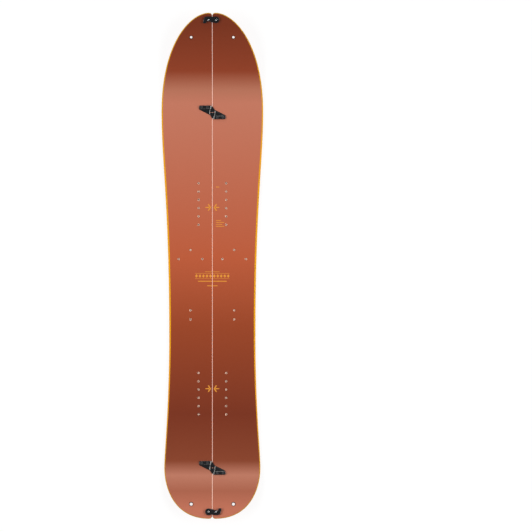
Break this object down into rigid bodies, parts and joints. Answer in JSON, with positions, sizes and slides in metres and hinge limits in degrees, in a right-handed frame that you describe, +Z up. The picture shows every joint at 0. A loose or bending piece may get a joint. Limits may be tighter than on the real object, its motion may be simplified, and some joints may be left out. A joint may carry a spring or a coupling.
{
  "type": "splitboard",
  "caption": "Snowboard that splits lengthways into two touring halves, held closed by turning tip hooks and lapped hook plates across the seam.",
  "frame": {"origin": "on the seam at mid-length, at the height of the flat running base", "axes": "+Y towards the nose, +Z up out of the topsheet, +X to the right half"},
  "size_m": [0.312, 1.55, 0.0686],
  "materials": {
    "topsheet": "satin printed polyamide",
    "running_base": "ground sintered polyethylene",
    "steel_edge": "ground",
    "glass_laminate": "cured resin",
    "wood_core": "sawn strips",
    "sidewall": "cut and bevelled",
    "seam_sidewall": "cut",
    "insert_steel": "turned",
    "grommet": "bronze anodised",
    "hook_metal": "black anodised",
    "post_metal": "turned",
    "dark_screw": "black oxide"
  },
  "bodies": {
    "right_half": {"right_base_sheet": "running_base", "right_outer_edge": "steel_edge", "right_inner_edge": "steel_edge", "right_lower_laminate": "glass_laminate", "right_wood_core": "wood_core", "right_nose_spacer": "sidewall", "right_tail_spacer": "sidewall", "right_outer_sidewall": "sidewall", "right_seam_sidewall": "seam_sidewall", "right_upper_laminate": "glass_laminate", "right_topsheet": "topsheet", "right_front_inserts": "insert_steel", "right_rear_inserts": "insert_steel", "right_bracket_inserts": "insert_steel", "right_riser_inserts": "insert_steel", "right_hook_sockets": "insert_steel", "right_skin_grommets": "grommet", "nose_pivot_bush": "post_metal", "nose_pivot_bolt": "dark_screw", "nose_pivot_nut": "post_metal", "tail_catch_post": "post_metal", "tail_catch_bolt": "dark_screw", "front_right_hook_plate": "hook_metal", "rear_right_hook_plate": "hook_metal", "front_right_plate_screws": "dark_screw", "rear_right_plate_screws": "dark_screw"},
    "left_half": {"left_base_sheet": "running_base", "left_outer_edge": "steel_edge", "left_inner_edge": "steel_edge", "left_lower_laminate": "glass_laminate", "left_wood_core": "wood_core", "left_nose_spacer": "sidewall", "left_tail_spacer": "sidewall", "left_outer_sidewall": "sidewall", "left_seam_sidewall": "seam_sidewall", "left_upper_laminate": "glass_laminate", "left_topsheet": "topsheet", "left_front_inserts": "insert_steel", "left_rear_inserts": "insert_steel", "left_bracket_inserts": "insert_steel", "left_riser_inserts": "insert_steel", "left_hook_sockets": "insert_steel", "left_skin_grommets": "grommet", "tail_pivot_bush": "post_metal", "tail_pivot_bolt": "dark_screw", "tail_pivot_nut": "post_metal", "nose_catch_post": "post_metal", "nose_catch_bolt": "dark_screw", "front_left_hook_plate": "hook_metal", "rear_left_hook_plate": "hook_metal", "front_left_plate_screws": "dark_screw", "rear_left_plate_screws": "dark_screw"},
    "nose_hook": {"nose_hook": "hook_metal"},
    "tail_hook": {"tail_hook": "hook_metal"}
  },
  "joints": [
    {"name": "split_slide", "type": "slide", "parent": "right_half", "child": "left_half", "axis": [-1, 0, 0], "range_m": [0, 0.032]},
    {"name": "nose_hook_turn", "type": "hinge", "parent": "right_half", "child": "nose_hook", "pos_m": [0.0115, 0.7545, 0.05834], "axis": [0, 0.2419, -0.9703], "range_deg": [0, 160]},
    {"name": "tail_hook_turn", "type": "hinge", "parent": "left_half", "child": "tail_hook", "pos_m": [-0.0115, -0.7545, 0.03589], "axis": [0, -0.2079, -0.9781], "range_deg": [0, 160]}
  ],
  "couplings": [
    {"joint": "nose_hook_turn", "follows": "split_slide", "rad_per_m": 87.266},
    {"joint": "tail_hook_turn", "follows": "split_slide", "rad_per_m": 87.266}
  ]
}
